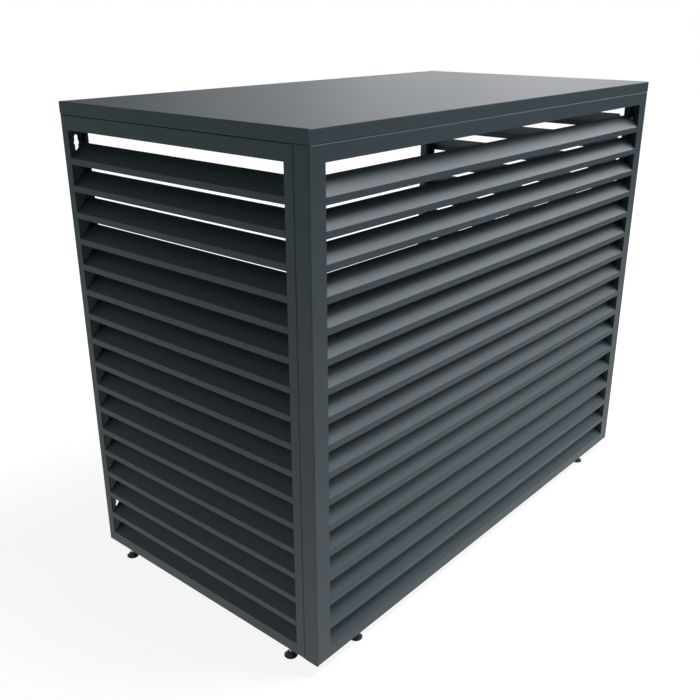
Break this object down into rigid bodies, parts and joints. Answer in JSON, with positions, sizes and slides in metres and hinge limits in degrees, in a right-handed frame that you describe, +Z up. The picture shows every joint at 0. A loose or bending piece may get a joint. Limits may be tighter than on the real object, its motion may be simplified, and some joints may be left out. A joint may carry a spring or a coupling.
{
  "type": "air conditioner screen",
  "caption": "Free-standing louvred sheet-metal screen with a flat lid and levelling feet, open at the back, that hides an outdoor air conditioner unit and lets its air through.",
  "frame": {"origin": "on the ground under the middle of the screen, at its adjusted height of rest", "axes": "+X along the front from the left panel to the right one, -Y the front panel, +Y the open back towards the wall, +Z up"},
  "size_m": [1.15, 0.613, 0.945],
  "materials": {
    "frame_paint": "fine satin powder coat, anthracite grey",
    "slat_paint": "fine satin powder coat, anthracite grey",
    "lid_paint": "fine satin powder coat, anthracite grey",
    "foot_plastic": "black moulded plastic on a zinc-plated stud"
  },
  "bodies": {
    "screen": {"front_frame": "frame_paint", "left_frame": "frame_paint", "right_frame": "frame_paint", "front_slat_01": "slat_paint", "front_slat_02": "slat_paint", "front_slat_03": "slat_paint", "front_slat_04": "slat_paint", "front_slat_05": "slat_paint", "front_slat_06": "slat_paint", "front_slat_07": "slat_paint", "front_slat_08": "slat_paint", "front_slat_09": "slat_paint", "front_slat_10": "slat_paint", "front_slat_11": "slat_paint", "front_slat_12": "slat_paint", "front_slat_13": "slat_paint", "front_slat_14": "slat_paint", "front_slat_15": "slat_paint", "front_slat_16": "slat_paint", "left_slat_01": "slat_paint", "left_slat_02": "slat_paint", "left_slat_03": "slat_paint", "left_slat_04": "slat_paint", "left_slat_05": "slat_paint", "left_slat_06": "slat_paint", "left_slat_07": "slat_paint", "left_slat_08": "slat_paint", "left_slat_09": "slat_paint", "left_slat_10": "slat_paint", "left_slat_11": "slat_paint", "left_slat_12": "slat_paint", "left_slat_13": "slat_paint", "left_slat_14": "slat_paint", "left_slat_15": "slat_paint", "left_slat_16": "slat_paint", "right_slat_01": "slat_paint", "right_slat_02": "slat_paint", "right_slat_03": "slat_paint", "right_slat_04": "slat_paint", "right_slat_05": "slat_paint", "right_slat_06": "slat_paint", "right_slat_07": "slat_paint", "right_slat_08": "slat_paint", "right_slat_09": "slat_paint", "right_slat_10": "slat_paint", "right_slat_11": "slat_paint", "right_slat_12": "slat_paint", "right_slat_13": "slat_paint", "right_slat_14": "slat_paint", "right_slat_15": "slat_paint", "right_slat_16": "slat_paint", "lid": "lid_paint"},
    "foot_front_left": {"foot_front_left": "foot_plastic"},
    "foot_front_right": {"foot_front_right": "foot_plastic"},
    "foot_left_front": {"foot_left_front": "foot_plastic"},
    "foot_left_back": {"foot_left_back": "foot_plastic"},
    "foot_right_front": {"foot_right_front": "foot_plastic"},
    "foot_right_back": {"foot_right_back": "foot_plastic"}
  },
  "joints": [
    {"name": "foot_front_left_height", "type": "slide", "parent": "screen", "child": "foot_front_left", "axis": [0, 0, 1], "range_m": [-0.01, 0.01]},
    {"name": "foot_front_right_height", "type": "slide", "parent": "screen", "child": "foot_front_right", "axis": [0, 0, 1], "range_m": [-0.01, 0.01]},
    {"name": "foot_left_front_height", "type": "slide", "parent": "screen", "child": "foot_left_front", "axis": [0, 0, 1], "range_m": [-0.01, 0.01]},
    {"name": "foot_left_back_height", "type": "slide", "parent": "screen", "child": "foot_left_back", "axis": [0, 0, 1], "range_m": [-0.01, 0.01]},
    {"name": "foot_right_front_height", "type": "slide", "parent": "screen", "child": "foot_right_front", "axis": [0, 0, 1], "range_m": [-0.01, 0.01]},
    {"name": "foot_right_back_height", "type": "slide", "parent": "screen", "child": "foot_right_back", "axis": [0, 0, 1], "range_m": [-0.01, 0.01]}
  ]
}
